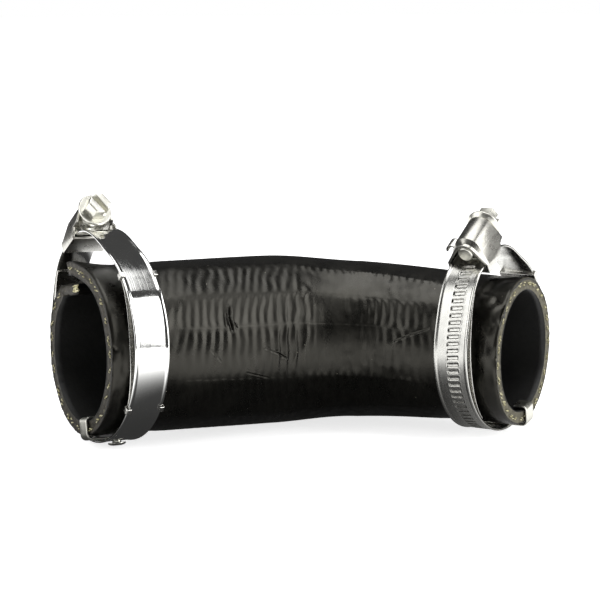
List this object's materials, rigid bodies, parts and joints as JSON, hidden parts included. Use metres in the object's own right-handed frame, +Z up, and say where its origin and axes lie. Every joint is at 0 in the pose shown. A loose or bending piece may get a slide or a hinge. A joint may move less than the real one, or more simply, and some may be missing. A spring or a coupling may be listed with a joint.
{
  "type": "charge air hose",
  "caption": "Bent rubber reducer hose for a turbocharged engine's charge air, with a spring lined worm drive clamp hung loose on each end.",
  "frame": {"origin": "centre of the footprint of the whole part, on the table it lies on", "axes": "+X along the part's length from the wide open end to the narrow one, +Y to the outside of the bend, +Z up as it lies"},
  "size_m": [0.1708, 0.0896, 0.081],
  "materials": {
    "hose_rubber": "satin black, rippled by the cloth it was cured in",
    "polished_band": "mirror-polished stainless steel",
    "satin_band": "satin stainless steel",
    "pressed_housing": "pressed stainless steel, bright and slightly warm",
    "plated_steel": "zinc-plated steel, turned or bent",
    "spring_steel": "thin spring steel, satin"
  },
  "bodies": {
    "hose_and_clamps": {"hose": "hose_rubber", "left_band": "polished_band", "left_housing": "pressed_housing", "left_clip_rivet": "plated_steel", "left_end_clip": "plated_steel", "left_liner_head_side": "spring_steel", "left_liner_tip_side": "spring_steel", "right_band": "satin_band", "right_housing": "pressed_housing", "right_clip_rivet": "plated_steel", "right_end_clip": "plated_steel", "right_liner_head_side": "spring_steel", "right_liner_tip_side": "spring_steel"},
    "left_screw": {"left_worm_screw": "plated_steel"},
    "right_screw": {"right_worm_screw": "plated_steel"}
  },
  "joints": [
    {"name": "left_screw_turn", "type": "hinge", "parent": "hose_and_clamps", "child": "left_screw", "pos_m": [-0.07416, 0.00762, 0.06598], "axis": [0.437, -0.6794, 0.5895], "continuous": true},
    {"name": "right_screw_turn", "type": "hinge", "parent": "hose_and_clamps", "child": "right_screw", "pos_m": [0.05307, -0.01814, 0.06189], "axis": [0.4486, 0.7322, 0.5125], "continuous": true}
  ]
}
